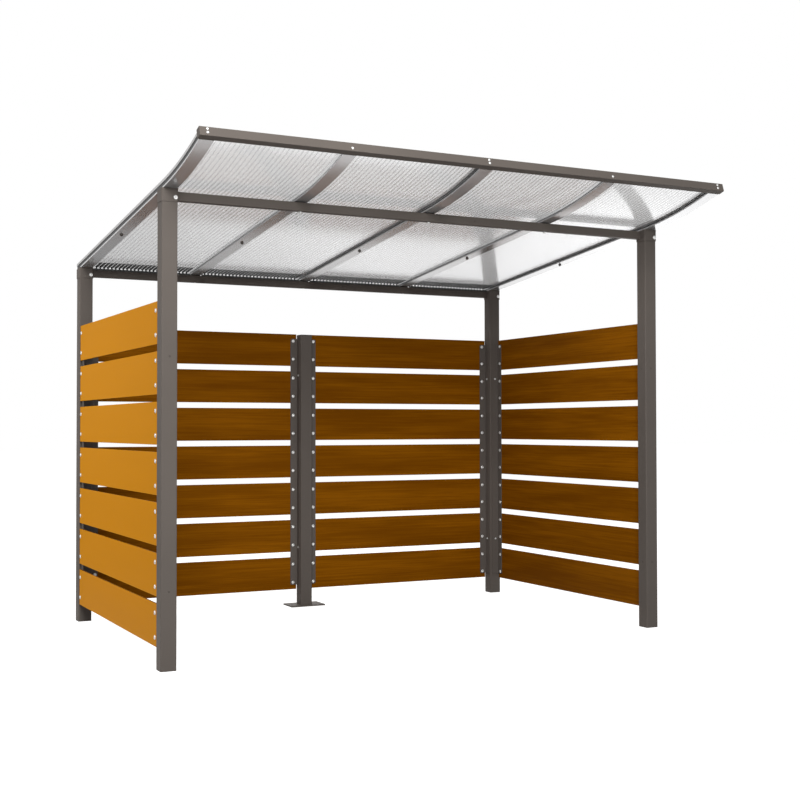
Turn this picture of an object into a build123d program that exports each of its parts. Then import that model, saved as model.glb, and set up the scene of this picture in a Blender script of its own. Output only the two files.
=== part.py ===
from build123d import *
import math
import os

# Bin shelter: four corner posts, a centre back post, slatted board walls on
# three sides and a canopy of twin-wall sheets that sweeps up at the front. Millimetres, +X right,
# +Y to the back, +Z up, origin on the ground in the middle of the bounding box.

# Frame
shelter_width = 3000.0
shelter_depth = 1860.0
post_size = 80.0
post_wall = 3.0
post_corner_radius = 6.0

# Post heads: a cap sleeve over the top of each corner post, just under the rafters
head_wall = 3.0
head_height = 58.0
head_clearance = 0.5

# Beams and fascia: the same rectangular tube
beam_height = 45.0
beam_depth = 40.0
beam_wall = 2.5
beam_corner_radius = 3.0
front_beam_top = 2342.0
end_cap_thickness = 3.0

# Canopy line, along the undersides of the rafters
canopy_pitch = 5.9
canopy_front_overhang = 559.0
canopy_rear_overhang = 25.0
canopy_side_inset = 5.0
curve_start_y = 14.0
curve_radius = 2830.0

# Rafters and glazing, from the underside up: strip, rest or pad, sheet, cover
rafter_width = 70.0
rafter_thickness = 8.0
middle_rafter_x = 752.0
rest_height = 7.0
pad_inset = 5.0
sheet_thickness = 10.0
sheet_clearance = 3.0
seal_width = 20.0
cover_height = 14.0
cover_wall = 3.0
cover_overhang = 3.0
fascia_gap = 0.5

# Board walls
board_count = 7
board_height = 212.0
board_gap = 35.5
board_thickness = 12.0
board_top = 1803.0
board_end_clearance = 25.0
board_recess = 4.0

# Angles that carry the ends of the boards
angle_leg = 50.0
angle_thickness = 4.0
angle_end_radius = 10.0
angle_end_inset = 30.0
centre_angle_drop = 55.0

# Centre back post and its base plate
centre_post_height = 1795.0
base_plate_width = 240.0
base_plate_depth = 160.0
base_plate_thickness = 8.0
base_plate_radius = 8.0
anchor_spacing_x = 180.0
anchor_hole_diameter = 14.0

# Places that follow from the sizes above
half_width = shelter_width / 2
pitch_slope = math.tan(math.radians(canopy_pitch))
beam_inset = post_size - beam_depth
sheet_level = rafter_thickness + rest_height
cover_level = sheet_level + sheet_thickness
canopy_half_width = half_width - canopy_side_inset
canopy_front_y = -canopy_front_overhang
canopy_rear_y = shelter_depth + canopy_rear_overhang
board_pitch = board_height + board_gap
wall_height = board_count * board_height + (board_count - 1) * board_gap
board_bottom = board_top - wall_height
rafter_edge_x = canopy_half_width - cover_overhang - rafter_width / 2
head_outer = post_size + 2 * head_wall


def canopy_z(y):
    """Height of the straight part of the rafters' underside at depth y."""
    return front_beam_top - (y - post_size) * pitch_slope


# The arc takes over from the straight part at the curve's start
curve_centre = (
    curve_start_y + curve_radius * math.sin(math.radians(canopy_pitch)),
    canopy_z(curve_start_y) + curve_radius * math.cos(math.radians(canopy_pitch)),
)
front_angle = math.degrees(math.asin((curve_centre[0] - canopy_front_y) / curve_radius))
back_beam_top = canopy_z(shelter_depth)
front_post_height = canopy_z(post_size + head_wall) - head_wall - head_clearance
back_post_height = canopy_z(shelter_depth + head_wall) - head_wall - head_clearance


def canopy_band(x_low, x_high, level, thickness):
    """A strip of the canopy: a line and a tangent arc, thickened upwards from level."""

    def arc_point(angle, lift):
        reach = curve_radius - lift
        return (
            curve_centre[0] - reach * math.sin(math.radians(angle)),
            curve_centre[1] - reach * math.cos(math.radians(angle)),
        )

    def rear_point(lift):
        along = math.sin(math.radians(canopy_pitch)) * lift
        return (
            canopy_rear_y + along,
            canopy_z(canopy_rear_y) + math.cos(math.radians(canopy_pitch)) * lift,
        )

    low = level
    high = level + thickness
    front = front_angle
    middle = (canopy_pitch + front) / 2
    with BuildPart() as band:
        with BuildSketch(Plane.YZ.offset(x_low)):
            with BuildLine():
                Line(rear_point(low), arc_point(canopy_pitch, low))
                ThreePointArc(arc_point(canopy_pitch, low), arc_point(middle, low), arc_point(front, low))
                Line(arc_point(front, low), arc_point(front, high))
                ThreePointArc(arc_point(front, high), arc_point(middle, high), arc_point(canopy_pitch, high))
                Line(arc_point(canopy_pitch, high), rear_point(high))
                Line(rear_point(high), rear_point(low))
            make_face()
        extrude(amount=x_high - x_low)
    return band.part


def square_tube(width, depth, height, wall, radius):
    """An upright tube with rounded corners, centred on the Z axis, standing on z = 0."""
    with BuildPart() as tube:
        with BuildSketch():
            RectangleRounded(width, depth, radius)
            RectangleRounded(width - 2 * wall, depth - 2 * wall, radius - wall / 2, mode=Mode.SUBTRACT)
        extrude(amount=height)
    return tube.part


def level_tube(length):
    """A beam tube along X, centred on the origin, with its front face towards -Y."""
    with BuildPart() as tube:
        with BuildSketch(Plane.YZ.offset(-length / 2)):
            RectangleRounded(beam_depth, beam_height, beam_corner_radius)
            RectangleRounded(
                beam_depth - 2 * beam_wall,
                beam_height - 2 * beam_wall,
                beam_corner_radius - beam_wall / 2,
                mode=Mode.SUBTRACT,
            )
        extrude(amount=length)
    return tube.part


def post_head(height):
    """A cap sleeve over the top of a corner post."""
    with BuildPart() as head:
        with BuildSketch(Plane.XY.offset(height - head_height + head_wall)):
            RectangleRounded(head_outer, head_outer, post_corner_radius + head_wall)
            RectangleRounded(post_size, post_size, post_corner_radius, mode=Mode.SUBTRACT)
        extrude(amount=head_height - head_wall)
        with BuildSketch(Plane.XY.offset(height)):
            RectangleRounded(head_outer, head_outer, post_corner_radius + head_wall)
        extrude(amount=head_wall)
    return head.part


def board_wall(length):
    """The boards of one bay, standing in the XZ plane with the outer face on y = 0."""
    boards = []
    for row in range(board_count):
        level = board_bottom + row * board_pitch + board_height / 2
        boards.append(Pos(0, -board_thickness / 2, level) * Box(length, board_thickness, board_height))
    return Compound(children=boards)


def angle_strip(top, bottom, drop):
    """A board angle: one leg in the XZ plane towards +X, the other along -Y at x = 0."""
    board_leg = Rectangle(angle_leg, top - bottom)
    board_leg = fillet(board_leg.vertices().filter_by(lambda v: v.X > 0), angle_end_radius)
    post_leg = Rectangle(angle_leg, top - bottom + drop)
    face_plane = Plane(origin=(angle_leg / 2, 0, (top + bottom) / 2), x_dir=(1, 0, 0), z_dir=(0, -1, 0))
    side_plane = Plane(
        origin=(0, -angle_leg / 2, (top + bottom - drop) / 2), x_dir=(0, 1, 0), z_dir=(1, 0, 0)
    )
    leg = extrude(face_plane * board_leg, angle_thickness)
    seat = extrude(side_plane * post_leg, angle_thickness)
    return leg + seat


front_post_y = post_size / 2
back_post_y = shelter_depth - post_size / 2
post_x = half_width - post_size / 2

parts = {}

# Corner posts and their heads
for side, x in (("left", -post_x), ("right", post_x)):
    for row, y, height in (("front", front_post_y, front_post_height), ("back", back_post_y, back_post_height)):
        post = square_tube(post_size, post_size, height, post_wall, post_corner_radius)
        parts[f"post_{row}_{side}"] = Pos(x, y, 0) * post
        parts[f"post_head_{row}_{side}"] = Pos(x, y, 0) * post_head(height)

# Centre back post, standing on its base plate
centre_tube = square_tube(
    post_size, post_size, centre_post_height - base_plate_thickness, post_wall, post_corner_radius
)
parts["post_back_centre"] = Pos(0, back_post_y, base_plate_thickness) * centre_tube
with BuildPart() as plate:
    with BuildSketch():
        RectangleRounded(base_plate_width, base_plate_depth, base_plate_radius)
        with GridLocations(anchor_spacing_x, 0, 2, 1):
            Circle(anchor_hole_diameter / 2, mode=Mode.SUBTRACT)
    extrude(amount=base_plate_thickness)
parts["base_plate"] = Pos(0, back_post_y, 0) * plate.part

# Beams between the corner posts
beam_length = 2 * (post_x - head_outer / 2)
front_beam_z = front_beam_top - beam_height / 2
back_beam_z = back_beam_top - beam_height / 2
parts["front_beam"] = Pos(0, beam_inset + beam_depth / 2, front_beam_z) * level_tube(beam_length)
parts["back_beam"] = Pos(0, shelter_depth - beam_depth / 2, back_beam_z) * level_tube(beam_length)

# Fascia: the beam's tube, tilted with the front end of the canopy, and its end caps
fascia_plane = Plane(
    origin=(0, curve_centre[0] - curve_radius * math.sin(math.radians(front_angle)),
            curve_centre[1] - curve_radius * math.cos(math.radians(front_angle))),
    x_dir=(1, 0, 0),
    z_dir=(0, math.sin(math.radians(front_angle)), math.cos(math.radians(front_angle))),
)
fascia_length = shelter_width - 2 * end_cap_thickness
fascia_centre = Pos(0, -beam_depth / 2 - fascia_gap, beam_height / 2)
parts["fascia"] = fascia_plane * fascia_centre * level_tube(fascia_length)
for side, sign in (("left", -1), ("right", 1)):
    cap_face = Plane.YZ * RectangleRounded(beam_depth, beam_height, beam_corner_radius)
    cap = extrude(cap_face, end_cap_thickness / 2, both=True)
    cap_x = sign * (half_width - end_cap_thickness / 2)
    parts[f"fascia_end_cap_{side}"] = fascia_plane * fascia_centre * Pos(cap_x, 0, 0) * cap

# Rafters, each with the layer the sheets lie on: a steel rest under a cover, else a rubber pad
rafter_places = {
    "left": -rafter_edge_x,
    "left_middle": -middle_rafter_x,
    "centre": 0.0,
    "right_middle": middle_rafter_x,
    "right": rafter_edge_x,
}
for name, x in rafter_places.items():
    low, high = x - rafter_width / 2, x + rafter_width / 2
    parts[f"rafter_{name}"] = canopy_band(low, high, 0, rafter_thickness)
    if name.endswith("middle"):
        pad = canopy_band(low + pad_inset, high - pad_inset, rafter_thickness, rest_height)
        parts[f"sheet_pad_{name}"] = pad
    else:
        parts[f"sheet_rest_{name}"] = canopy_band(low, high, rafter_thickness, rest_height)
        low, high = low - cover_overhang, high + cover_overhang
        hollow = canopy_band(low + cover_wall, high - cover_wall, cover_level, cover_height - cover_wall)
        parts[f"sheet_cover_{name}"] = canopy_band(low, high, cover_level, cover_height) - hollow

# The two sheets, and rubber seals that fill the rest of their level under the covers
seal_edge_x = canopy_half_width - cover_overhang
sheet_outer_x = seal_edge_x - seal_width - sheet_clearance
sheet_inner_x = seal_width / 2 + sheet_clearance
seals = [canopy_band(-seal_width / 2, seal_width / 2, sheet_level, sheet_thickness)]
for side, sign in (("left", -1), ("right", 1)):
    low, high = sorted((sign * sheet_inner_x, sign * sheet_outer_x))
    parts[f"roof_sheet_{side}"] = canopy_band(low, high, sheet_level, sheet_thickness)
    low, high = sorted((sign * (seal_edge_x - seal_width), sign * seal_edge_x))
    seals.append(canopy_band(low, high, sheet_level, sheet_thickness))
parts["sheet_seals"] = Compound(children=seals)

# Board walls: two bays at the back and one on each side
side_length = shelter_depth - 2 * post_size - 2 * board_end_clearance
bay_length = half_width - 1.5 * post_size - 2 * board_end_clearance
bay_x = (post_size / 2 + half_width - post_size) / 2
back_face_y = shelter_depth - board_recess
side_face_x = half_width - board_recess
parts["boards_back_left"] = Pos(-bay_x, back_face_y, 0) * board_wall(bay_length)
parts["boards_back_right"] = Pos(bay_x, back_face_y, 0) * board_wall(bay_length)
middle_y = shelter_depth / 2
parts["boards_left"] = Pos(-side_face_x, middle_y, 0) * Rot(0, 0, 90) * board_wall(side_length)
parts["boards_right"] = Pos(side_face_x, middle_y, 0) * Rot(0, 0, -90) * board_wall(side_length)

# Angles that join the board ends to the posts
angle_top = board_top - angle_end_inset
angle_bottom = board_bottom + angle_end_inset
plain_angle = angle_strip(angle_top, angle_bottom, 0)
long_angle = angle_strip(angle_top, angle_bottom, centre_angle_drop)
leg_y = back_face_y - board_thickness
inner_x = half_width - post_size
parts["angle_back_centre_right"] = Pos(post_size / 2, leg_y, 0) * long_angle
parts["angle_back_centre_left"] = mirror(parts["angle_back_centre_right"], Plane.YZ)
parts["angle_back_left"] = Pos(-inner_x, leg_y, 0) * plain_angle
parts["angle_back_right"] = mirror(parts["angle_back_left"], Plane.YZ)
side_leg_x = side_face_x - board_thickness
parts["angle_left_front"] = Pos(-side_leg_x, post_size, 0) * Rot(0, 0, 90) * plain_angle
parts["angle_right_front"] = mirror(parts["angle_left_front"], Plane.YZ)
parts["angle_left_back"] = mirror(parts["angle_left_front"], Plane.XZ.offset(-middle_y))
parts["angle_right_back"] = mirror(parts["angle_left_back"], Plane.YZ)

# Origin in the middle of the bounding box, on the ground
boxes = [shape.bounding_box() for shape in parts.values()]
low_y = min(box.min.Y for box in boxes)
high_y = max(box.max.Y for box in boxes)
os.makedirs("parts", exist_ok=True)
for name, shape in parts.items():
    export_step(Pos(0, -(low_y + high_y) / 2, 0) * shape, f"parts/{name}.step")
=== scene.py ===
import math

import bpy
import numpy as np
from bpy.props import FloatProperty, FloatVectorProperty, IntProperty, PointerProperty
from bpy.types import Operator, Panel, PropertyGroup
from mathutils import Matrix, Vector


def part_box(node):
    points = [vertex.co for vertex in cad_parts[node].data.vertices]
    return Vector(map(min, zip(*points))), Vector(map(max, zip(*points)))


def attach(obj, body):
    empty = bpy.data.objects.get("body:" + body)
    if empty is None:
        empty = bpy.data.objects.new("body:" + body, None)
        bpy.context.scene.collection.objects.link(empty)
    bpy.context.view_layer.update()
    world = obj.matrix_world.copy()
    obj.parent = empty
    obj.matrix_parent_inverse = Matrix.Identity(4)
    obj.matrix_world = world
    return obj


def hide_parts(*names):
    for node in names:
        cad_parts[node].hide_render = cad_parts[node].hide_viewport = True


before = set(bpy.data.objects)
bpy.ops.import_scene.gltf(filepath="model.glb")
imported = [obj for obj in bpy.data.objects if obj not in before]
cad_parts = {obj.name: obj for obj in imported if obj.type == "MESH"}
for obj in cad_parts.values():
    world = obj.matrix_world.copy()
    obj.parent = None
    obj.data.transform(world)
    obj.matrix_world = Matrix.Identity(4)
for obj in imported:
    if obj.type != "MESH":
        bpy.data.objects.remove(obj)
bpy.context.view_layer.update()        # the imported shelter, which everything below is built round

bl_info = {
    "name": "Bin Shelter",
    "version": (1, 0, 0),
    "blender": (4, 5, 0),
    "location": "View3D > Sidebar > Shelter",
    "description": "Builds the visible pieces and finishes of a bin shelter round its packed frame",
    "category": "Add Mesh",
}

MM = 0.001
WHITE = (1.0, 1.0, 1.0, 1.0)
BOX_CORNERS = 8

# Places read from the frame, in metres
POST_LOW, POST_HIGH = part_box("post_front_left")
POST_SIZE = POST_HIGH.x - POST_LOW.x
FRONT_Y = POST_LOW.y
BACK_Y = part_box("post_back_left")[1].y
HALF_WIDTH = -POST_LOW.x
BEAM_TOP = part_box("front_beam")[1].z
CANOPY_REAR_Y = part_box("rafter_left")[1].y
CANOPY_FRONT_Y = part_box("rafter_left")[0].y
RAFTERS = ("rafter_left", "rafter_left_middle", "rafter_centre", "rafter_right_middle", "rafter_right")
RAFTER_MIDDLES = [(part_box(rafter)[0].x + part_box(rafter)[1].x) / 2 for rafter in RAFTERS]
POST_HEADS = (
    "post_head_front_left", "post_head_front_right", "post_head_back_left", "post_head_back_right",
)

# The canopy line, as the frame has it
CANOPY_PITCH = math.radians(5.9)
CURVE_START_Y = 14 * MM
CURVE_RADIUS = 2830 * MM
RAFTER_THICKNESS = 8 * MM
SHEET_LEVEL = 15 * MM
SHEET_THICKNESS = 10 * MM
FASCIA_DEPTH = 40 * MM
FASCIA_GAP = 0.5 * MM
ANGLE_THICKNESS = 4 * MM

# Boards: seven in each bay
BOARD_COUNT = 7
BOARD_LOW, BOARD_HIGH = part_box("boards_left")
BOARD_HEIGHT = 212 * MM
BOARD_GAP = 35.5 * MM
BOARD_END_GAP = BOARD_LOW.y - FRONT_Y - POST_SIZE
BOARD_MIDDLES = BOARD_HIGH.z - BOARD_HEIGHT / 2 - np.arange(BOARD_COUNT) * (BOARD_HEIGHT + BOARD_GAP)

# Bolts, above the foot of a post head and up the face of the fascia
HEAD_BOLT_RISE = 22 * MM
FASCIA_BOLT_LOW = 16 * MM
FASCIA_BOLT_HIGH = 34 * MM

# Heights of fasteners, as shares of their widths
FASCIA_DOME = 0.2
POST_DOME = 0.3
PLUG_DOME = 0.1
NUT_HEIGHT = 0.5
NUT_SIDES = 6

# Radius and height along the outline of a bolt head and of a nut, as shares of the whole
DOME_SHAPE = ((1.0, 0.0), (0.97, 0.35), (0.72, 0.80), (0.26, 1.0), (0.20, 0.55), (0.0, 0.55))
NUT_SHAPE = ((1.0, 0.0), (1.0, 0.55), (0.88, 0.65), (0.48, 0.65), (0.44, 1.0), (0.0, 1.0))

# Colours that each finish varies between
ZINC_TONES = ((0.46, 0.46, 0.45), (0.68, 0.68, 0.67))
ALUMINIUM_TONES = ((0.30, 0.295, 0.29), (0.46, 0.455, 0.45))
ANODISED_TONES = ((0.008, 0.008, 0.008), (0.022, 0.022, 0.022))
RUBBER_TONES = ((0.006, 0.006, 0.006), (0.020, 0.020, 0.020))
SHEET_GLOSS = (0.94, 0.94, 0.95)

# Where the boards' grain moves on from one board to the next, and from a back bay to a side bay
GRAIN_STEP = 1.7
GRAIN_TURN = 3.1
GRAIN_ACROSS = 0.3

# Camera: place in metres from the middle of the posts' front on the ground, turn in radians
CAMERA_PLACE = (-3.2100, -5.9420, 1.1781)
CAMERA_TURN = (math.pi / 2 + 0.0221, 0.0014, -0.4683)
SENSOR_WIDTH = 36.0
CAMERA_REACH = 200.0
FLOOR_REACH = 60.0

# Lamps: name, place and size in metres, and power beside the key lamp; all look at one point
LAMPS = (
    ("key", (-2.4, -5.4, 4.1), 2.5, 1.0),
    ("side", (-4.5, 1.2, 2.0), 1.6, 0.145),
    ("rear", (2.0, 7.0, 6.0), 4.0, 0.8),
)
LAMP_AIM = (0.0, 0.0, 1.2)

# The floor's white, as glossy faces see it, fades along this axis between these places in metres: an
# uneven glow that paints darker and brighter reflections into the sheets and rafters
FLOOR_FADE_AXIS = (1.0, -0.8, 0.0)
FLOOR_FADE_LEFT = (-4.8, -2.0)
FLOOR_FADE_RIGHT = (-1.2, 2.0)


class ShelterSteel(PropertyGroup):
    """Finish of the painted frame."""

    colour: FloatVectorProperty(
        name="Paint", description="Colour of the powder coat", subtype="COLOR", size=3,
        min=0.0, max=1.0, default=(0.102, 0.088, 0.078),
    )
    roughness: FloatProperty(
        name="Roughness", description="How matt the powder coat is", default=0.55, min=0.0, max=1.0
    )
    gloss: FloatProperty(
        name="Gloss", description="Specular level of the powder coat", default=0.06, min=0.0, max=1.0
    )
    rafter_colour: FloatVectorProperty(
        name="Rafters", description="Colour of the smooth metallic finish on the rafters",
        subtype="COLOR", size=3, min=0.0, max=1.0, default=(0.50, 0.50, 0.505),
    )
    grain: FloatProperty(
        name="Grain", description="Size of the orange-peel texture", default=2.5 * MM, unit="LENGTH"
    )


class ShelterBoards(PropertyGroup):
    """Sizes and stain of the wall boards."""

    outer_colour: FloatVectorProperty(
        name="Outer face", description="Stain on the faces that look outwards", subtype="COLOR", size=3,
        min=0.0, max=1.0, default=(0.56, 0.222, 0.005),
    )
    # Darker than the outer stain: partly the board's own stain, partly painted shade, as the inner
    # faces lie under the roof
    inner_stain_and_shade: FloatVectorProperty(
        name="Inner face", description="Stain on the faces that look inwards", subtype="COLOR", size=3,
        min=0.0, max=1.0, default=(0.235, 0.078, 0.001),
    )
    streak_colour: FloatVectorProperty(
        name="Streaks", description="Darker lines of the grain", subtype="COLOR", size=3,
        min=0.0, max=1.0, default=(0.150, 0.046, 0.0),
    )
    edge_radius: FloatProperty(
        name="Edge radius", description="Rounding along the edges of each board", default=2 * MM,
        unit="LENGTH",
    )
    edge_steps: IntProperty(
        name="Edge steps", description="Faces round each rounded edge", default=4, min=1, max=12
    )
    end_gap: FloatProperty(
        name="End gap", description="Between the end of a board and its post",
        default=7 * MM, unit="LENGTH",
    )


class ShelterRoof(PropertyGroup):
    """Twin-wall sheets of the canopy."""

    rib_pitch: FloatProperty(
        name="Rib pitch", description="Spacing of the ribs inside a sheet",
        default=24 * MM, unit="LENGTH",
    )
    rib_thickness: FloatProperty(
        name="Rib thickness", description="Thickness of one rib", default=0.9 * MM, unit="LENGTH"
    )
    sheet_colour: FloatVectorProperty(
        name="Sheet", description="Tint of the clear plastic", subtype="COLOR", size=3,
        min=0.0, max=1.0, default=(0.62, 0.62, 0.62),
    )
    skin: FloatProperty(
        name="Skin", description="Thickness of the two skins", default=0.8 * MM, unit="LENGTH"
    )
    skin_cover: FloatProperty(
        name="Skin cover", description="How much one skin hides", default=0.14, min=0.0, max=1.0
    )
    rib_cover: FloatProperty(
        name="Rib cover", description="How much one side of a rib hides", default=0.11, min=0.0, max=1.0
    )
    skin_clearness: FloatProperty(
        name="Skin clearness", description="How much light a skin lets through",
        default=0.933, min=0.0, max=1.0,
    )
    rib_clearness: FloatProperty(
        name="Rib clearness", description="How much light a rib lets through",
        default=0.955, min=0.0, max=1.0,
    )
    glance: FloatProperty(
        name="Glance", description="Gloss of the sheets at a grazing angle",
        default=0.88, min=0.0, max=1.0,
    )
    gloss_blur: FloatProperty(
        name="Gloss blur", description="Roughness of the skins' gloss", default=0.13, min=0.0, max=1.0
    )
    arc_steps: IntProperty(
        name="Arc steps", description="Sections along the curved front of the canopy", default=28, min=4
    )


class ShelterBolts(PropertyGroup):
    """Bolts that hold the boards, heads, fascia and rafters, and the wedges on the heads."""

    head_diameter: FloatProperty(
        name="Head diameter", description="Width of a domed bolt head", default=23 * MM, unit="LENGTH"
    )
    head_height: FloatProperty(
        name="Head height", description="How far a domed head stands out",
        default=5.5 * MM, unit="LENGTH",
    )
    board_spacing: FloatProperty(
        name="Board bolt spacing", description="Between the two bolts of a board end", default=121 * MM,
        unit="LENGTH",
    )
    post_offset: FloatProperty(
        name="Offset from post", description="From the post's face to the board bolts", default=32 * MM,
        unit="LENGTH",
    )
    small_diameter: FloatProperty(
        name="Small heads", description="Width of the bolt heads in the fascia",
        default=14 * MM, unit="LENGTH",
    )
    head_offset: FloatProperty(
        name="Post head offset", description="From the middle of a post head to its bolt",
        default=28 * MM, unit="LENGTH",
    )
    fascia_end: FloatProperty(
        name="Fascia end bolts", description="From the middle of the fascia to its end bolts",
        default=1462 * MM, unit="LENGTH",
    )
    nut_width: FloatProperty(
        name="Nut width", description="Across the corners of the nuts under the rafters",
        default=20 * MM, unit="LENGTH",
    )
    nut_depth: FloatProperty(
        name="Nut depth", description="From the front of the posts back to the nuts", default=945 * MM,
        unit="LENGTH",
    )
    plug_diameter: FloatProperty(
        name="Plug diameter", description="Width of the small painted plugs",
        default=11 * MM, unit="LENGTH",
    )
    plug_x: FloatProperty(
        name="Beam plugs", description="From the middle of a beam to its plug",
        default=282 * MM, unit="LENGTH",
    )
    plug_tint: FloatProperty(
        name="Plug tint", description="How bright the plugs are beside the paint", default=0.8
    )
    plug_low: FloatProperty(
        name="Lower plugs", description="Height of the lower post bolts",
        default=385 * MM, unit="LENGTH",
    )
    plug_high: FloatProperty(
        name="Upper plugs", description="Height of the upper post bolts",
        default=1527 * MM, unit="LENGTH",
    )
    wedge_inset: FloatProperty(
        name="Wedge inset", description="From a post head's side to the wedge on its top",
        default=2 * MM, unit="LENGTH",
    )
    segments: IntProperty(
        name="Segments", description="Faces round one bolt head", default=10, min=6, max=32
    )


class ShelterTrim(PropertyGroup):
    """Black closure at the sheets' rear edge, partly a painted stand-in for the dark beam seen through
    the ribs, and the cap of the middle post.
    """

    tooth_width: FloatProperty(
        name="Tooth width", description="Width of a tooth under the sheet",
        default=10 * MM, unit="LENGTH",
    )
    tooth_depth: FloatProperty(
        name="Tooth depth", description="From front to back of a tooth", default=4 * MM, unit="LENGTH"
    )
    strip_height: FloatProperty(
        name="Strip height", description="Height of the strip under the teeth",
        default=9 * MM, unit="LENGTH",
    )
    front_setback: FloatProperty(
        name="Setback", description="From the beam's front edge to the closure",
        default=1 * MM, unit="LENGTH",
    )
    # The fingers lay black stripes under the flutes: painted stand-in for the dark beam seen through
    # the ribs
    finger_width: FloatProperty(
        name="Finger width", description="Width of a finger under a flute",
        default=17 * MM, unit="LENGTH",
    )
    finger_length: FloatProperty(
        name="Finger length", description="From front to back of a finger",
        default=125 * MM, unit="LENGTH",
    )
    finger_thickness: FloatProperty(
        name="Finger thickness", description="Thickness of a finger", default=2 * MM, unit="LENGTH"
    )
    rafter_margin: FloatProperty(
        name="Rafter margin", description="From a rafter's middle to the end of the closure",
        default=38 * MM, unit="LENGTH",
    )
    cap_thickness: FloatProperty(
        name="Cap thickness", description="Thickness of the middle post's cap",
        default=3 * MM, unit="LENGTH",
    )
    cap_radius: FloatProperty(
        name="Cap radius", description="Rounding of the cap's corners", default=6 * MM, unit="LENGTH"
    )
    cap_steps: IntProperty(
        name="Cap steps", description="Faces round each corner of the cap", default=4, min=1, max=12
    )


class ShelterStage(PropertyGroup):
    """Camera, floor and lamps."""

    lens: FloatProperty(name="Lens", description="Focal length in millimetres", default=56.43)
    sky_level: FloatProperty(name="Sky level", description="Strength of the even light", default=0.22)
    key_power: FloatProperty(
        name="Key power", description="Power of the large lamp, in watts", default=470.0
    )
    floor_glow: FloatProperty(
        name="Floor glow", description="Added white of the floor, as the camera sees it", default=0.93
    )
    # Glow of the floor seen only in glossy faces: painted reflections, dark on the left and bright on
    # the right
    shade_level: FloatProperty(
        name="Left shade", description="White of the floor behind on the left, as glossy faces see it",
        default=0.10,
    )
    middle_level: FloatProperty(
        name="Middle white", description="White of the floor in the middle, as glossy faces see it",
        default=1.05,
    )
    right_level: FloatProperty(
        name="Right white", description="White of the floor on the right, as glossy faces see it",
        default=2.0,
    )
    floor_colour: FloatVectorProperty(
        name="Floor", description="Colour of the floor", subtype="COLOR", size=3,
        min=0.0, max=1.0, default=(0.40, 0.40, 0.40),
    )


def node_material(name):
    """A new material with its node tree emptied, and that tree."""
    material = bpy.data.materials.new(name)
    material.use_nodes = True
    material.node_tree.nodes.clear()
    return material, material.node_tree


def add_node(tree, kind, inputs=(), **settings):
    """A node of that kind, its attributes set, and its sockets set or linked from a dict of names."""
    node = tree.nodes.new(kind)
    for key, value in settings.items():
        setattr(node, key, value)
    for key, value in dict(inputs).items():
        if isinstance(value, bpy.types.NodeSocket):
            tree.links.new(value, node.inputs[key])
        else:
            node.inputs[key].default_value = value
    return node


def colour(value):
    """A shader colour, with full alpha, from three numbers."""
    return (*value, 1.0)


def mix_colour(tree, factor, first, second):
    """The colour output of a mix from first to second; factor is a socket or a number."""
    node = tree.nodes.new("ShaderNodeMix")
    node.data_type = "RGBA"
    for index, value in ((0, factor), (6, first), (7, second)):
        if isinstance(value, bpy.types.NodeSocket):
            tree.links.new(value, node.inputs[index])
        else:
            node.inputs[index].default_value = value
    return node.outputs[2]


def finish_material(tree, shader):
    """Joins a shader to the material's output."""
    output = tree.nodes.new("ShaderNodeOutputMaterial")
    tree.links.new(shader, output.inputs["Surface"])


def finish_principled(tree, inputs):
    """Joins a principled shader with those inputs to the material's output."""
    finish_material(tree, add_node(tree, "ShaderNodeBsdfPrincipled", inputs).outputs["BSDF"])


def object_place(tree):
    """The place of a point on its piece."""
    return add_node(tree, "ShaderNodeTexCoord").outputs["Object"]


def calculate(tree, operation, first, second):
    """The result of that operation on two values, each a socket or a number."""
    return add_node(tree, "ShaderNodeMath", {0: first, 1: second}, operation=operation).outputs["Value"]


def noise(tree, place, scale, detail, inputs=()):
    """A noise from 0 to 1 over place; three scales stretch it along the axes."""
    if not np.isscalar(scale):
        place = add_node(tree, "ShaderNodeMapping", {"Vector": place, "Scale": scale}).outputs["Vector"]
        scale = 1.0
    every = {"Vector": place, "Scale": scale, "Detail": detail, **dict(inputs)}
    return add_node(tree, "ShaderNodeTexNoise", every).outputs["Fac"]


def spread(tree, value, low, high, start=0.0, end=1.0):
    """That value, which runs from start to end, spread from low to high and held between them."""
    inputs = {"Value": value, "From Min": start, "From Max": end, "To Min": low, "To Max": high}
    return add_node(tree, "ShaderNodeMapRange", inputs).outputs["Result"]


def raised(tree, height, strength, distance):
    """The normal of a surface bumped by that height."""
    inputs = {"Height": height, "Strength": strength, "Distance": distance}
    return add_node(tree, "ShaderNodeBump", inputs).outputs["Normal"]


def shaded(value, share):
    """A shader colour: that share of three numbers."""
    return colour([channel * share for channel in value])


def painted_steel(options, name="powder_coat", tint=1.0):
    """Satin powder coat: a warm grey that varies a little, with fine orange peel."""
    material, tree = node_material(name)
    place = object_place(tree)
    cloud = noise(tree, place, 3.0, 3.0)
    peel = noise(tree, place, 1 / options.grain, 2.0)
    dark, light = (shaded(options.colour, tint * share) for share in (0.9, 1.1))
    paint = mix_colour(tree, cloud, dark, light)
    finish_principled(tree, {
        "Base Color": paint, "Roughness": options.roughness, "Specular IOR Level": options.gloss,
        "Normal": raised(tree, peel, 0.06, 0.5 * MM),
    })
    return material


def rafter_metal(options, name="rafter_metal"):
    """Smooth metallic coat on the flat rafters, with faint rolling marks along them."""
    material, tree = node_material(name)
    marks = noise(tree, object_place(tree), (160.0, 3.0, 3.0), 3.0)
    tone = mix_colour(tree, marks, shaded(options.rafter_colour, 0.92), colour(options.rafter_colour))
    gloss = spread(tree, marks, 0.16, 0.28)
    finish_principled(tree, {"Base Color": tone, "Metallic": 0.6, "Roughness": gloss})
    return material


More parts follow.
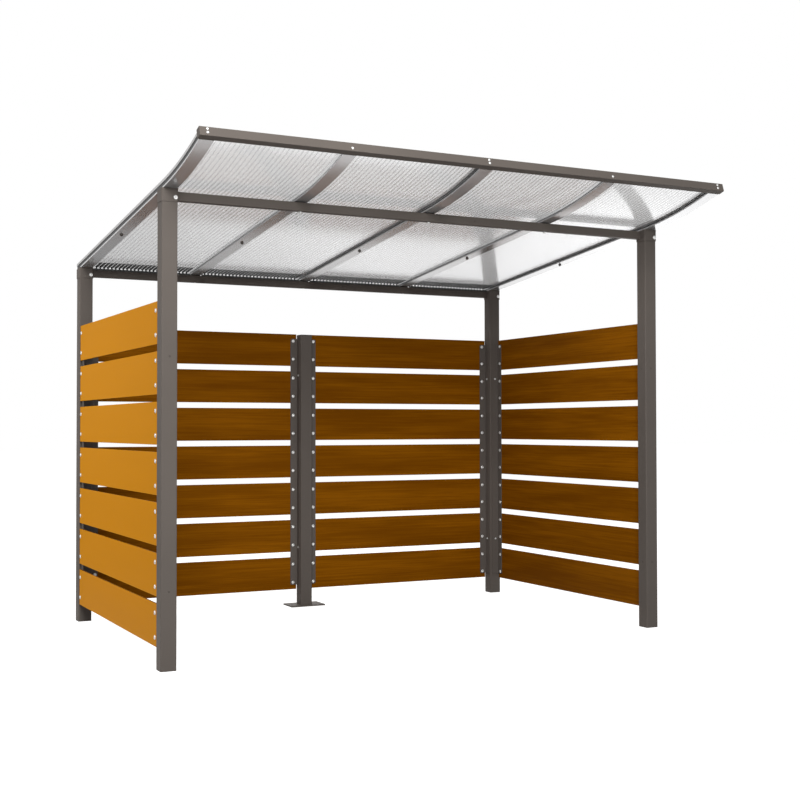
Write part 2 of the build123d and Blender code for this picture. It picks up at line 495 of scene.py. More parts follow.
def bright_zinc(name="bright_zinc"):
    """Bright zinc on bolt heads: metal with a faint cloudy spangle."""
    material, tree = node_material(name)
    spangle = noise(tree, object_place(tree), 260.0, 2.0)
    tone = mix_colour(tree, spangle, *map(colour, ZINC_TONES))
    gloss = spread(tree, spangle, 0.28, 0.42)
    finish_principled(tree, {"Base Color": tone, "Metallic": 0.45, "Roughness": gloss})
    return material


def mill_aluminium(name="mill_aluminium"):
    """Plain extruded aluminium with die lines along the profile."""
    material, tree = node_material(name)
    lines = noise(tree, object_place(tree), (900.0, 4.0, 4.0), 3.0)
    tone = mix_colour(tree, lines, *map(colour, ALUMINIUM_TONES))
    finish_principled(tree, {
        "Base Color": tone, "Metallic": 0.6, "Roughness": 0.4,
        "Normal": raised(tree, lines, 0.1, 0.2 * MM),
    })
    return material


def black_anodised(name="black_anodised"):
    """Black anodised aluminium with faint die lines, for the rests under the sheets' edges."""
    material, tree = node_material(name)
    lines = noise(tree, object_place(tree), (700.0, 4.0, 300.0), 2.0)
    tone = mix_colour(tree, lines, *map(colour, ANODISED_TONES))
    finish_principled(tree, {"Base Color": tone, "Metallic": 0.3, "Roughness": 0.5})
    return material


def black_rubber(name="black_rubber"):
    """Extruded black rubber with a dusty bloom."""
    material, tree = node_material(name)
    dust = noise(tree, object_place(tree), 60.0, 4.0)
    tone = mix_colour(tree, dust, *map(colour, RUBBER_TONES))
    finish_principled(tree, {"Base Color": tone, "Roughness": 0.6})
    return material


def stained_board(options, name="stained_board"):
    """Ochre stain: smooth outside; the inner faces darker, partly their own stain and partly painted
    shade under the roof, with fine lengthwise streaks.

    The board mesh's UV map runs in metres, along the board and across it, and its
    attribute "inner" is one on the faces that look inwards.
    """
    material, tree = node_material(name)
    uv = add_node(tree, "ShaderNodeUVMap", uv_map="UVMap").outputs["UV"]
    inner = add_node(tree, "ShaderNodeAttribute", attribute_name="inner").outputs["Fac"]
    streaks = noise(tree, uv, (2.2, 90.0, 1.0), 5.0, {"Roughness": 0.6})
    bands = noise(tree, uv, (0.9, 9.0, 1.0), 3.0)
    grain = calculate(tree, "MULTIPLY", streaks, bands)
    depth = spread(tree, grain, 0.0, 1.0, start=0.16, end=0.36)
    # The inner faces take the darker inner colour, part of which is painted shade
    inside = mix_colour(tree, depth, colour(options.streak_colour), colour(options.inner_stain_and_shade))
    outside = mix_colour(tree, bands, shaded(options.outer_colour, 0.93), colour(options.outer_colour))
    finish_principled(tree, {
        "Base Color": mix_colour(tree, inner, outside, inside), "Roughness": 0.55,
        "Specular IOR Level": 0.02, "Normal": raised(tree, streaks, 0.12, 0.3 * MM),
    })
    return material


def clear_sheet(options, name, cover, clearness):
    """Clear twin-wall plastic: mostly seen through, with a hazy body and a glossy skin.

    cover is how much one surface hides, and clearness what it lets through of the rest. The
    gloss grows towards grazing angles by the fifth power of one less the cosine, from
    4 percent head on, alike on both sides of a skin.
    """
    material, tree = node_material(name)
    haze = noise(tree, object_place(tree), 4.0, 3.0)
    tone = mix_colour(tree, haze, shaded(options.sheet_colour, 0.92), colour(options.sheet_colour))
    body = add_node(tree, "ShaderNodeBsdfPrincipled", {"Base Color": tone, "Roughness": 0.3})
    through = add_node(tree, "ShaderNodeBsdfTransparent", {"Color": colour([clearness] * 3)})
    hazy = add_node(
        tree, "ShaderNodeMixShader", {0: cover, 1: through.outputs["BSDF"], 2: body.outputs["BSDF"]}
    )
    mirror = add_node(
        tree, "ShaderNodeBsdfAnisotropic",
        {"Color": colour(SHEET_GLOSS), "Roughness": options.gloss_blur},
    )
    facing = add_node(tree, "ShaderNodeLayerWeight", {"Blend": 0.5}).outputs["Facing"]
    edge_on = spread(tree, calculate(tree, "POWER", facing, 5.0), 0.04, options.glance)
    shader = add_node(
        tree, "ShaderNodeMixShader", {0: edge_on, 1: hazy.outputs["Shader"], 2: mirror.outputs["BSDF"]}
    )
    finish_material(tree, shader.outputs["Shader"])
    return material


def surface(name, vertices, faces, material, smooth=False):
    """A mesh object with its place in its mesh, riding on the shelter."""
    mesh = bpy.data.meshes.new(name)
    mesh.from_pydata(np.reshape(vertices, (-1, 3)).tolist(), [], faces)
    mesh.polygons.foreach_set("use_smooth", np.full(len(mesh.polygons), smooth))
    mesh.materials.append(material)
    mesh.update()
    made = bpy.data.objects.new(name, mesh)
    bpy.context.scene.collection.objects.link(made)
    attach(made, "root")
    return made


def tube_faces(rings, around):
    """Quads of a closed tube of rings with that many points round, ends left open."""
    ring, point = np.meshgrid(np.arange(rings - 1), np.arange(around), indexing="ij")
    here = ring * around + point
    there = ring * around + (point + 1) % around
    return np.stack([here, there, there + around, here + around], axis=-1).reshape(-1, 4)


def roof_height(y, lift=0.0):
    """Height at y of the canopy's straight part, lifted square to the underside of the rafters."""
    straight = BEAM_TOP - (y - FRONT_Y - POST_SIZE) * math.tan(CANOPY_PITCH)
    return straight + lift / math.cos(CANOPY_PITCH)


def curve_centre():
    """Where the canopy's arc is centred, as y and z."""
    start_y = FRONT_Y + CURVE_START_Y
    start_z = roof_height(start_y)
    across, up = math.sin(CANOPY_PITCH), math.cos(CANOPY_PITCH)
    return start_y + CURVE_RADIUS * across, start_z + CURVE_RADIUS * up


def front_angle():
    """Slope of the canopy at its front end."""
    return math.asin((curve_centre()[0] - CANOPY_FRONT_Y) / CURVE_RADIUS)


def front_end_height():
    """Height of the rafters' underside at the canopy's front end."""
    return curve_centre()[1] - CURVE_RADIUS * math.cos(front_angle())


def rib_places(node, pitch):
    """Middles of the ribs across that sheet, evenly spaced from its centre line."""
    low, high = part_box(node)
    width = high.x - low.x
    count = int(width / pitch)
    margin = (width - (count - 1) * pitch) / 2
    return low.x + margin + np.arange(count) * pitch


def canopy_line(lift, arc_steps):
    """Points (y, z) of the canopy, lifted square to the underside of the rafters.

    Formula: a straight line that falls to the back by the pitch, then towards the front an
    arc of the curve radius less the lift, about a centre above the start of the curve.
    """
    centre_y, centre_z = curve_centre()
    angle = np.linspace(CANOPY_PITCH, front_angle(), arc_steps)
    reach = CURVE_RADIUS - lift
    arc = np.stack([centre_y - reach * np.sin(angle), centre_z - reach * np.cos(angle)], axis=-1)
    rear_y = CANOPY_REAR_Y - RAFTER_THICKNESS * math.sin(CANOPY_PITCH)
    rear_z = roof_height(rear_y)
    rear = [rear_y + lift * math.sin(CANOPY_PITCH), rear_z + lift * math.cos(CANOPY_PITCH)]
    return np.concatenate([[rear], arc])


def canopy_bands(x_low, x_high, lift_low, lift_high, arc_steps):
    """Closed bands along the canopy, one for each pair of sides.

    Formula: the rectangle between the two sides and the two lifts, carried along the canopy
    line, with a flat face at each end. Gives vertices and quads.
    """
    x_low, x_high = np.atleast_1d(x_low), np.atleast_1d(x_high)
    low, high = canopy_line(lift_low, arc_steps), canopy_line(lift_high, arc_steps)
    rings = len(low)
    section = np.stack([low, low, high, high], axis=1)
    sides = np.stack([x_low, x_high, x_high, x_low], axis=1)
    points = np.empty((len(x_low), rings, 4, 3))
    points[..., 0] = sides[:, None, :]
    points[..., 1:] = section[None]
    ends = np.array([[3, 2, 1, 0], [0, 1, 2, 3]]) + np.array([[0], [4 * (rings - 1)]])
    quads = np.concatenate([tube_faces(rings, 4), ends])
    faces = quads[None] + (np.arange(len(x_low)) * rings * 4)[:, None, None]
    return points.reshape(-1, 3), faces.reshape(-1, 4).tolist()


def rounded_section(width, height, radius, steps):
    """Points round a rectangle with rounded corners, anticlockwise.

    Formula: at each corner a quarter circle of the radius, about the point one radius in
    from both sides.
    """
    angle = np.linspace(0, math.pi / 2, steps + 1)
    starts = np.repeat(np.arange(4) * math.pi / 2, steps + 1)
    turn = np.tile(angle, 4) + starts
    corner_x = np.repeat([1, -1, -1, 1], steps + 1) * (width / 2 - radius)
    corner_y = np.repeat([1, 1, -1, -1], steps + 1) * (height / 2 - radius)
    return np.stack([corner_x + radius * np.cos(turn), corner_y + radius * np.sin(turn)], axis=-1)


def board_wall(name, node, along, outward, options, material):
    """The seven boards of one bay, in place of that node.

    Formula: a rounded rectangle, thickness by height, carried along the board, with the ring
    at each end drawn in by the edge radius. along is the axis of the boards' length, and
    outward the sign of the side that looks out.
    """
    low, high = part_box(node)
    across = 1 - along
    reach = BOARD_END_GAP - options.end_gap
    start = low[along] - reach
    length = high[along] - low[along] + 2 * reach
    thickness = high[across] - low[across]
    radius = options.edge_radius
    full = rounded_section(thickness, BOARD_HEIGHT, radius, options.edge_steps)
    shrunk = rounded_section(
        thickness - 2 * radius, BOARD_HEIGHT - 2 * radius, radius * 0.2, options.edge_steps
    )
    stations = np.array([0, radius, length - radius, length]) + start
    section = np.stack([shrunk, full, full, shrunk])
    around = full.shape[0]
    points = np.empty((BOARD_COUNT, 4, around, 3))
    points[..., along] = stations[None, :, None]
    points[..., across] = (low[across] + high[across]) / 2 + section[None, ..., 0]
    points[..., 2] = BOARD_MIDDLES[:, None, None] + section[None, ..., 1]
    quads = tube_faces(4, around)
    first = np.arange(around)
    last = first + 3 * around
    caps = (first[::-1], last)
    if along == 1:
        quads = quads[:, ::-1]
        caps = (first, last[::-1])
    per_board = 4 * around
    offsets = np.arange(BOARD_COUNT) * per_board
    polygons = (quads[None] + offsets[:, None, None]).reshape(-1, 4).tolist()
    polygons += [(cap + offset).tolist() for offset in offsets for cap in caps]
    vertices = points.reshape(-1, 3)
    made = surface(name, vertices, polygons, material)
    mesh = made.data
    corners = np.empty(len(mesh.loops), np.int32)
    mesh.loops.foreach_get("vertex_index", corners)
    board = corners // per_board
    uv = np.stack([
        vertices[corners, along] + board * GRAIN_STEP + along * GRAIN_TURN,
        vertices[corners, 2] + vertices[corners, across] * GRAIN_ACROSS,
    ], axis=-1)
    mesh.uv_layers.new(name="UVMap").data.foreach_set("uv", uv.astype(np.float32).ravel())
    normals = np.empty(len(mesh.polygons) * 3, np.float32)
    mesh.polygons.foreach_get("normal", normals)
    inner = (normals.reshape(-1, 3)[:, across] * outward < 0.5).astype(np.float32)
    mesh.attributes.new("inner", "FLOAT", "FACE").data.foreach_set("value", inner)
    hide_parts(node)
    return made


def turned_heads(centres, axis, profile, segments):
    """Bolt heads or nuts, one at each centre, looking along axis.

    Formula: a profile of radii and heights turned about the axis; its last point is the
    middle of the socket's floor, and its first the rim that rests on the surface.
    """
    radius, height = np.array(profile).T
    turn = np.linspace(0, 2 * math.pi, segments, endpoint=False)
    axis = np.array(axis, float)
    across = np.array([0.0, 0.0, 1.0]) if abs(axis[2]) < 0.9 else np.array([0.0, 1.0, 0.0])
    side = np.cross(across, axis)
    side /= np.linalg.norm(side)
    up = np.cross(axis, side)
    rounds = np.cos(turn)[:, None] * side + np.sin(turn)[:, None] * up
    rings = len(radius) - 1
    template = radius[:-1, None, None] * rounds[None] + height[:-1, None, None] * axis
    template = np.concatenate([template.reshape(-1, 3), [height[-1] * axis]])
    tip = len(template) - 1
    last = (rings - 1) * segments + np.arange(segments)
    fan = np.stack([last, np.roll(last, -1), np.full(segments, tip)], axis=-1)
    shape = tube_faces(rings, segments).tolist() + fan.tolist() + [list(range(segments))[::-1]]
    centres = np.atleast_2d(centres)
    vertices = (centres[:, None] + template[None]).reshape(-1, 3)
    starts = range(0, len(vertices), len(template))
    polygons = [[corner + start for corner in face] for start in starts for face in shape]
    return vertices, polygons


def dome_profile(diameter, height):
    """Radii and heights of a low dome with a small socket in its top."""
    return np.array(DOME_SHAPE) * (diameter / 2, height)


def nut_profile(width, height):
    """Radii and heights of a nut with a short end of thread standing out of it."""
    return np.array(NUT_SHAPE) * (width / 2, height)


def boxes(low, high):
    """Closed boxes from their lower and upper corners, one row of x, y and z for each.

    Formula: the eight corners take low or high in each axis in turn.
    """
    low, high = np.atleast_2d(low), np.atleast_2d(high)
    pick = np.array([[x, y, z] for z in (0, 1) for x, y in ((0, 0), (1, 0), (1, 1), (0, 1))])
    points = np.where(pick[None] == 0, low[:, None], high[:, None])
    quads = np.array([
        [3, 2, 1, 0], [4, 5, 6, 7], [0, 1, 5, 4], [1, 2, 6, 5], [2, 3, 7, 6], [3, 0, 4, 7],
    ])
    faces = quads[None] + (np.arange(len(low)) * BOX_CORNERS)[:, None, None]
    return points.reshape(-1, 3), faces.reshape(-1, 4).tolist()


def join(parts):
    """One list of vertices and one of faces from several."""
    vertices, polygons, start = [], [], 0
    for points, faces in parts:
        vertices.append(points)
        polygons += [[corner + start for corner in face] for face in faces]
        start += len(points)
    return np.concatenate(vertices), polygons


def dress(prefixes, material):
    """Gives every frame node whose name starts with one of the prefixes that material."""
    for name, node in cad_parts.items():
        if name.startswith(prefixes):
            node.data.materials.clear()
            node.data.materials.append(material)


def background_rays(tree):
    """One for a camera, glossy or transmission ray and nought for the rest, and the path node."""
    path = add_node(tree, "ShaderNodeLightPath")
    seen = calculate(tree, "MAXIMUM", path.outputs["Is Camera Ray"], path.outputs["Is Glossy Ray"])
    return calculate(tree, "MAXIMUM", seen, path.outputs["Is Transmission Ray"]), path


def white_sky(options):
    """A world that looks plain white and lights the shelter evenly at the sky's level."""
    world = bpy.data.worlds.new("shelter_sky")
    world.use_nodes = True
    tree = world.node_tree
    tree.nodes.clear()
    white, _ = background_rays(tree)
    light = add_node(tree, "ShaderNodeBackground", {"Color": WHITE, "Strength": options.sky_level})
    backdrop = add_node(tree, "ShaderNodeBackground", {"Color": WHITE, "Strength": 1.0})
    sky = add_node(
        tree, "ShaderNodeMixShader",
        {0: white, 1: light.outputs["Background"], 2: backdrop.outputs["Background"]},
    )
    output = tree.nodes.new("ShaderNodeOutputWorld")
    tree.links.new(sky.outputs["Shader"], output.inputs["Surface"])
    return world


def floor_white(options):
    """Matt floor that keeps the shadow, with white added where it is seen or mirrored.

    What glossy faces mirror fades from the shade level at the back on the left, through the middle
    level, to the right level: a glow seen only in reflections, which paints darker and brighter
    reflections into the sheets and rafters.
    """
    material, tree = node_material("pale_floor")
    matt = add_node(tree, "ShaderNodeBsdfDiffuse", {"Color": colour(options.floor_colour)})
    white, path = background_rays(tree)
    camera = path.outputs["Is Camera Ray"]
    across = add_node(
        tree, "ShaderNodeVectorMath", {0: object_place(tree), 1: FLOOR_FADE_AXIS},
        operation="DOT_PRODUCT",
    ).outputs["Value"]
    left = spread(tree, across, options.shade_level, options.middle_level, *FLOOR_FADE_LEFT)
    right = spread(tree, across, 0.0, options.right_level - options.middle_level, *FLOOR_FADE_RIGHT)
    fade = calculate(tree, "ADD", left, right)
    # Painted reflection: the floor's uneven glow, seen only by glossy rays
    painted_reflection_glow = calculate(tree, "MULTIPLY", fade, calculate(tree, "SUBTRACT", 1.0, camera))
    direct = calculate(tree, "MULTIPLY", camera, options.floor_glow)
    level = calculate(tree, "MULTIPLY", white, calculate(tree, "ADD", painted_reflection_glow, direct))
    glow = add_node(tree, "ShaderNodeEmission", {"Color": WHITE, "Strength": level})
    both = add_node(tree, "ShaderNodeAddShader", {0: matt.outputs["BSDF"], 1: glow.outputs["Emission"]})
    finish_material(tree, both.outputs["Shader"])
    return material


class SHELTER_OT_stage(Operator):
    """Camera, white floor and soft lamps round the shelter"""

    bl_idname = "shelter.stage"
    bl_label = "Stage"

    def execute(self, context):
        options = context.scene.shelter_stage
        scene = context.scene
        scene.view_settings.view_transform = "Standard"
        scene.world = white_sky(options)

        camera = bpy.data.cameras.new("shelter_camera")
        camera.sensor_width = SENSOR_WIDTH
        camera.lens = options.lens
        camera.clip_end = CAMERA_REACH
        holder = bpy.data.objects.new("shelter_camera", camera)
        holder.location = np.array(CAMERA_PLACE) + (0.0, FRONT_Y, 0.0)
        holder.rotation_euler = CAMERA_TURN
        scene.collection.objects.link(holder)
        scene.camera = holder

        sides = ((-1, -1), (1, -1), (1, 1), (-1, 1))
        corners = [(x * FLOOR_REACH, y * FLOOR_REACH, 0) for x, y in sides]
        mesh = bpy.data.meshes.new("floor")
        mesh.from_pydata(corners, [], [[0, 1, 2, 3]])
        mesh.materials.append(floor_white(options))
        floor = bpy.data.objects.new("floor", mesh)
        scene.collection.objects.link(floor)

        for name, place, size, share in LAMPS:
            lamp = bpy.data.lights.new(name, "AREA")
            lamp.energy = options.key_power * share
            lamp.size = size
            lamp_holder = bpy.data.objects.new(name, lamp)
            lamp_holder.location = place
            aim = np.array(LAMP_AIM) - place
            tilt = math.atan2(math.hypot(aim[0], aim[1]), -aim[2])
            lamp_holder.rotation_euler = (tilt, 0.0, math.atan2(-aim[0], aim[1]))
            scene.collection.objects.link(lamp_holder)
        return {"FINISHED"}


class SHELTER_OT_steel(Operator):
    """Powder coat on posts, heads, beams, fascia and angles, a metallic coat on the rafters, and
    finishes on the sheets' pads, seals, rests and covers
    """

    bl_idname = "shelter.steel"
    bl_label = "Painted steel"

    def execute(self, context):
        material = painted_steel(context.scene.shelter_steel)
        dress(("post_", "base_plate", "front_beam", "back_beam", "fascia", "angle_"), material)
        dress(("rafter_",), rafter_metal(context.scene.shelter_steel))
        # The seals are black rubber; their black also stands in for the shaded cavity between the
        # profiles, as painted shade
        dress(("sheet_pad", "sheet_seals"), black_rubber())
        dress(("sheet_rest",), black_anodised())
        dress(("sheet_cover",), mill_aluminium())
        return {"FINISHED"}


class SHELTER_OT_boards(Operator):
    """Stained boards with eased edges in all four bays"""

    bl_idname = "shelter.boards"
    bl_label = "Wall boards"

    def execute(self, context):
        options = context.scene.shelter_boards
        material = stained_board(options)
        for node, along, outward in (
            ("boards_back_left", 0, 1), ("boards_back_right", 0, 1),
            ("boards_left", 1, -1), ("boards_right", 1, 1),
        ):
            name = node.replace("boards", "stained_boards")
            board_wall(name, node, along, outward, options, material)
        return {"FINISHED"}


class SHELTER_OT_roof(Operator):
    """Twin-wall sheets: a clear shell with ribs from back to front"""

    bl_idname = "shelter.roof"
    bl_label = "Roof sheets"

    def execute(self, context):
        options = context.scene.shelter_roof
        skins = clear_sheet(options, "clear_skin", options.skin_cover, options.skin_clearness)
        webs = clear_sheet(options, "clear_rib", options.rib_cover, options.rib_clearness)
        for side in ("left", "right"):
            node = f"roof_sheet_{side}"
            low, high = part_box(node)
            lift = (SHEET_LEVEL, SHEET_LEVEL + SHEET_THICKNESS)
            shell = canopy_bands(low.x, high.x, *lift, options.arc_steps)
            sheet = surface(f"sheet_shell_{side}", *shell, skins)
            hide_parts(node)
            middles = rib_places(node, options.rib_pitch)
            half = options.rib_thickness / 2
            inside = (lift[0] + options.skin, lift[1] - options.skin)
            ribs = canopy_bands(middles - half, middles + half, *inside, options.arc_steps)
            surface(f"sheet_ribs_{side}", *ribs, webs)
        return {"FINISHED"}


class SHELTER_OT_board_bolts(Operator):
    """Domed bolts through the board ends and angles, seen from both sides"""

    bl_idname = "shelter.board_bolts"
    bl_label = "Board bolts"

    def execute(self, context):
        options = context.scene.shelter_bolts
        material = bright_zinc()
        dome = dome_profile(options.head_diameter, options.head_height)
        half = options.board_spacing / 2
        levels = np.concatenate([BOARD_MIDDLES - half, BOARD_MIDDLES + half])

        def column(x, y, axis):
            """Heads at every level of one board end."""
            centres = np.array([(x, y, level) for level in levels])
            return turned_heads(centres, axis, dome, options.segments)

        back_low, back_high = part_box("boards_back_left")
        offset = options.post_offset
        near_middle = POST_SIZE / 2 + offset
        near_corner = HALF_WIDTH - POST_SIZE - offset
        back = []
        for x in (-near_corner, -near_middle, near_middle, near_corner):
            back.append(column(x, back_high.y, (0, 1, 0)))
            back.append(column(x, back_low.y - ANGLE_THICKNESS, (0, -1, 0)))
        surface("board_bolts_back", *join(back), material, smooth=True)
        for side, sign in (("left", -1), ("right", 1)):
            low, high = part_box(f"boards_{side}")
            outer = low.x if sign < 0 else high.x
            inner = high.x if sign < 0 else low.x
            parts = []
            for y in (FRONT_Y + POST_SIZE + offset, BACK_Y - POST_SIZE - offset):
                parts.append(column(outer, y, (sign, 0, 0)))
                parts.append(column(inner - sign * ANGLE_THICKNESS, y, (-sign, 0, 0)))
            surface(f"board_bolts_{side}", *join(parts), material, smooth=True)
        return {"FINISHED"}


class SHELTER_OT_post_heads(Operator):
    """Bolts in the post heads, and painted wedges from their level tops up to the rafters"""

    bl_idname = "shelter.post_heads"
    bl_label = "Post heads"

    def execute(self, context):
        options = context.scene.shelter_bolts
        dome = dome_profile(options.head_diameter, options.head_height)
        heads = [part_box(node) for node in POST_HEADS]
        bolts = []
        for low, high in heads:
            place = ((low.x + high.x) / 2 + options.head_offset, low.y, low.z + HEAD_BOLT_RISE)
            bolts.append(turned_heads(place, (0, -1, 0), dome, options.segments))
        surface("head_bolts", *join(bolts), bright_zinc("head_bolt_zinc"), smooth=True)

        inset = options.wedge_inset
        points, quads = boxes(
            [(low.x + inset, low.y + inset, 0.0) for low, _ in heads],
            [(high.x - inset, high.y - inset, 1.0) for _, high in heads],
        )
        tops = np.repeat([high.z for _, high in heads], BOX_CORNERS)
        points[:, 2] = np.where(points[:, 2] > 0, roof_height(points[:, 1]), tops)
        surface("head_wedges", points, quads, painted_steel(context.scene.shelter_steel, "wedge_paint"))
        return {"FINISHED"}


class SHELTER_OT_frame_bolts(Operator):
    """Bolts in the fascia and beams, and the nuts under the rafters"""

    bl_idname = "shelter.frame_bolts"
    bl_label = "Frame bolts"

    def execute(self, context):
        options = context.scene.shelter_bolts
        small = dome_profile(options.small_diameter, options.small_diameter * FASCIA_DOME)
        nut = nut_profile(options.nut_width, options.nut_width * NUT_HEIGHT)
        slant = front_angle()
        out = np.array([0.0, -math.cos(slant), math.sin(slant)])
        up = np.array([0.0, math.sin(slant), math.cos(slant)])
        foot = np.array([0.0, CANOPY_FRONT_Y, front_end_height()]) + out * (FASCIA_DEPTH + FASCIA_GAP)
        ends = (-options.fascia_end, 0.0, options.fascia_end)
        places = [(x, rise) for x in ends for rise in (FASCIA_BOLT_LOW, FASCIA_BOLT_HIGH)]
        places += [(RAFTER_MIDDLES[1], FASCIA_BOLT_LOW), (RAFTER_MIDDLES[3], FASCIA_BOLT_LOW)]
        centres = [foot + up * rise + np.array([x, 0.0, 0.0]) for x, rise in places]
        surface(
            "fascia_bolts", *turned_heads(centres, out, small, options.segments),
            bright_zinc("fascia_bolt_zinc"), smooth=True,
        )

        under = []
        for node, finish in (("front_beam", nut), ("back_beam", small)):
            low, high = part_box(node)
            for x in RAFTER_MIDDLES[1:4]:
                place = (x, (low.y + high.y) / 2, low.z)
                under.append(turned_heads(place, (0, 0, -1), finish, options.segments))
        surface("beam_bolts", *join(under), bright_zinc("beam_bolt_zinc"), smooth=True)

        down = np.array([0.0, -math.sin(CANOPY_PITCH), -math.cos(CANOPY_PITCH)])
        nut_y = FRONT_Y + options.nut_depth
        centres = [(x, nut_y, roof_height(nut_y)) for x in RAFTER_MIDDLES]
        surface(
            "rafter_nuts", *turned_heads(centres, down, nut, NUT_SIDES),
            painted_steel(context.scene.shelter_steel, "nut_paint"),
        )
        return {"FINISHED"}


class SHELTER_OT_post_bolts(Operator):
    """Small bolts through the angles' post legs, and painted plugs in the front posts"""

    bl_idname = "shelter.post_bolts"
    bl_label = "Post bolts"

    def execute(self, context):
        options = context.scene.shelter_bolts
        small = dome_profile(options.small_diameter, options.small_diameter * POST_DOME)
        plug = dome_profile(options.plug_diameter, options.plug_diameter * PLUG_DOME)
        levels = (options.plug_low, options.plug_high)
        side_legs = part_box("angle_right_front")
        back_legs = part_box("angle_back_right")
        side_x = (side_legs[0].x + side_legs[1].x) / 2
        back_y = (back_legs[0].y + back_legs[1].y) / 2
        inner_x = HALF_WIDTH - POST_SIZE
        bolts, plugs = [], []
        for sign in (-1, 1):
            for z in levels:
                for place, axis in (
                    ((sign * side_x, FRONT_Y + POST_SIZE + ANGLE_THICKNESS, z), (0, 1, 0)),
                    ((sign * side_x, BACK_Y - POST_SIZE - ANGLE_THICKNESS, z), (0, -1, 0)),
                    ((sign * (inner_x - ANGLE_THICKNESS), back_y, z), (-sign, 0, 0)),
                    ((sign * (POST_SIZE / 2 + ANGLE_THICKNESS), back_y, z), (sign, 0, 0)),
                ):
                    bolts.append(turned_heads(place, axis, small, options.segments))
                for place, axis in (
                    ((sign * side_x, FRONT_Y, z), (0, -1, 0)),
                    ((sign * inner_x, FRONT_Y + POST_SIZE / 2, z), (-sign, 0, 0)),
                ):
                    plugs.append(turned_heads(place, axis, plug, options.segments))
        for node in ("front_beam", "back_beam"):
            low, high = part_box(node)
            place = (options.plug_x, low.y, (low.z + high.z) / 2)
            plugs.append(turned_heads(place, (0, -1, 0), plug, options.segments))
        surface("post_bolts", *join(bolts), bright_zinc("post_bolt_zinc"), smooth=True)
        surface(
            "painted_plugs", *join(plugs),
            painted_steel(context.scene.shelter_steel, "plug_paint", options.plug_tint), smooth=True,
        )
        return {"FINISHED"}


class SHELTER_OT_trim(Operator):
    """Toothed black closure between the back beam and the sheets, which also paints the dark of the
    beam seen through the ribs, and the middle post's cap
    """

    bl_idname = "shelter.trim"
    bl_label = "Black trim"

    def execute(self, context):
        options = context.scene.shelter_trim
        pitch = context.scene.shelter_roof.rib_pitch
        beam_low, beam_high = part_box("back_beam")
        front_y = beam_low.y + options.front_setback
        rear_y = front_y + options.tooth_depth
        rafters = np.array(RAFTER_MIDDLES)
        starts, ends = rafters[:-1] + options.rafter_margin, rafters[1:] - options.rafter_margin
        ribs = [rib_places(f"roof_sheet_{side}", pitch)[:-1] for side in ("left", "right")]
        flutes = np.concatenate(ribs) + pitch / 2
        half = options.finger_width / 2
        fits = ((flutes[:, None] - half > starts) & (flutes[:, None] + half < ends)).any(axis=1)
        flutes = flutes[fits]
        rubber = black_rubber("closure_rubber_and_painted_refraction")

        # Black teeth: partly a rubber closure, partly painted dark of the beam seen through the sheet's
        # ribs
        tooth = options.tooth_width / 2
        strip_z = beam_high.z + options.strip_height
        sheet_z = roof_height(rear_y, SHEET_LEVEL)
        low = [(x - tooth, front_y, strip_z) for x in flutes]
        high = [(x + tooth, rear_y, sheet_z) for x in flutes]
        low += [(x, front_y, beam_high.z) for x in starts]
        high += [(x, rear_y, strip_z) for x in ends]
        surface("sheet_closure_with_painted_refraction", *boxes(low, high), rubber)

        # Black fingers under the flutes: painted dark of the beam seen through the ribs
        points, quads = boxes(
            [(x - half, front_y - options.finger_length, 0.0) for x in flutes],
            [(x + half, front_y, 1.0) for x in flutes],
        )
        lift = np.where(points[:, 2] > 0, SHEET_LEVEL, SHEET_LEVEL - options.finger_thickness)
        points[:, 2] = roof_height(points[:, 1], lift)
        surface("closure_fingers_with_painted_refraction", points, quads, rubber)

        post_low, post_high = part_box("post_back_centre")
        section = rounded_section(POST_SIZE, POST_SIZE, options.cap_radius, options.cap_steps)
        around = len(section)
        points = np.empty((2, around, 3))
        points[..., 0] = (post_low.x + post_high.x) / 2 + section[None, :, 0]
        points[..., 1] = (post_low.y + post_high.y) / 2 + section[None, :, 1]
        points[..., 2] = post_high.z + np.array([[0.0], [options.cap_thickness]])
        faces = tube_faces(2, around).tolist()
        faces += [list(range(around))[::-1], list(range(around, 2 * around))]
        surface("middle_post_cap", points, faces, rubber)
        return {"FINISHED"}


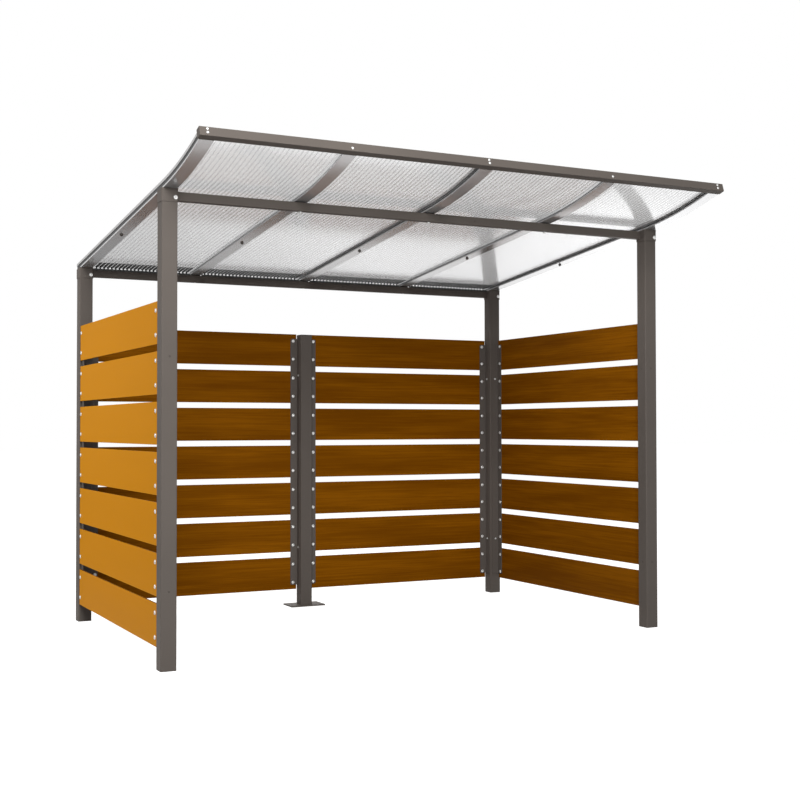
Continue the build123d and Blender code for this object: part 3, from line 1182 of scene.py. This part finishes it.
class SHELTER_PT_panel(Panel):
    """Lists the pieces of the shelter and their settings"""

    bl_idname = "SHELTER_PT_panel"
    bl_label = "Bin Shelter"
    bl_space_type = "VIEW_3D"
    bl_region_type = "UI"
    bl_category = "Shelter"

    def draw(self, context):
        for group, operator in (
            ("shelter_stage", "shelter.stage"),
            ("shelter_steel", "shelter.steel"),
            ("shelter_boards", "shelter.boards"),
            ("shelter_roof", "shelter.roof"),
            ("shelter_bolts", "shelter.board_bolts"),
            ("shelter_bolts", "shelter.post_heads"),
            ("shelter_bolts", "shelter.frame_bolts"),
            ("shelter_bolts", "shelter.post_bolts"),
            ("shelter_trim", "shelter.trim"),
        ):
            options = getattr(context.scene, group)
            box = self.layout.box()
            for key in options.bl_rna.properties.keys():
                if key not in ("rna_type", "name"):
                    box.prop(options, key)
            box.operator(operator)


GROUPS = {
    "shelter_stage": ShelterStage,
    "shelter_steel": ShelterSteel,
    "shelter_boards": ShelterBoards,
    "shelter_roof": ShelterRoof,
    "shelter_bolts": ShelterBolts,
    "shelter_trim": ShelterTrim,
}
OPERATORS = (
    SHELTER_OT_stage, SHELTER_OT_steel, SHELTER_OT_boards, SHELTER_OT_roof, SHELTER_OT_board_bolts,
    SHELTER_OT_post_heads, SHELTER_OT_frame_bolts, SHELTER_OT_post_bolts, SHELTER_OT_trim,
)


def register():
    """Makes the settings, operators and panel known to Blender."""
    for group in GROUPS.values():
        bpy.utils.register_class(group)
    for name, group in GROUPS.items():
        setattr(bpy.types.Scene, name, PointerProperty(type=group))
    for operator in OPERATORS:
        bpy.utils.register_class(operator)
    bpy.utils.register_class(SHELTER_PT_panel)


def unregister():
    """Takes them out again."""
    bpy.utils.unregister_class(SHELTER_PT_panel)
    for operator in reversed(OPERATORS):
        bpy.utils.unregister_class(operator)
    for name, group in GROUPS.items():
        delattr(bpy.types.Scene, name)
        bpy.utils.unregister_class(group)


def main():
    register()
    bpy.ops.shelter.stage()
    bpy.ops.shelter.steel()
    bpy.ops.shelter.boards()
    bpy.ops.shelter.roof()
    bpy.ops.shelter.board_bolts()
    bpy.ops.shelter.post_heads()
    bpy.ops.shelter.frame_bolts()
    bpy.ops.shelter.post_bolts()
    bpy.ops.shelter.trim()


if __name__ == "__main__":
    main()
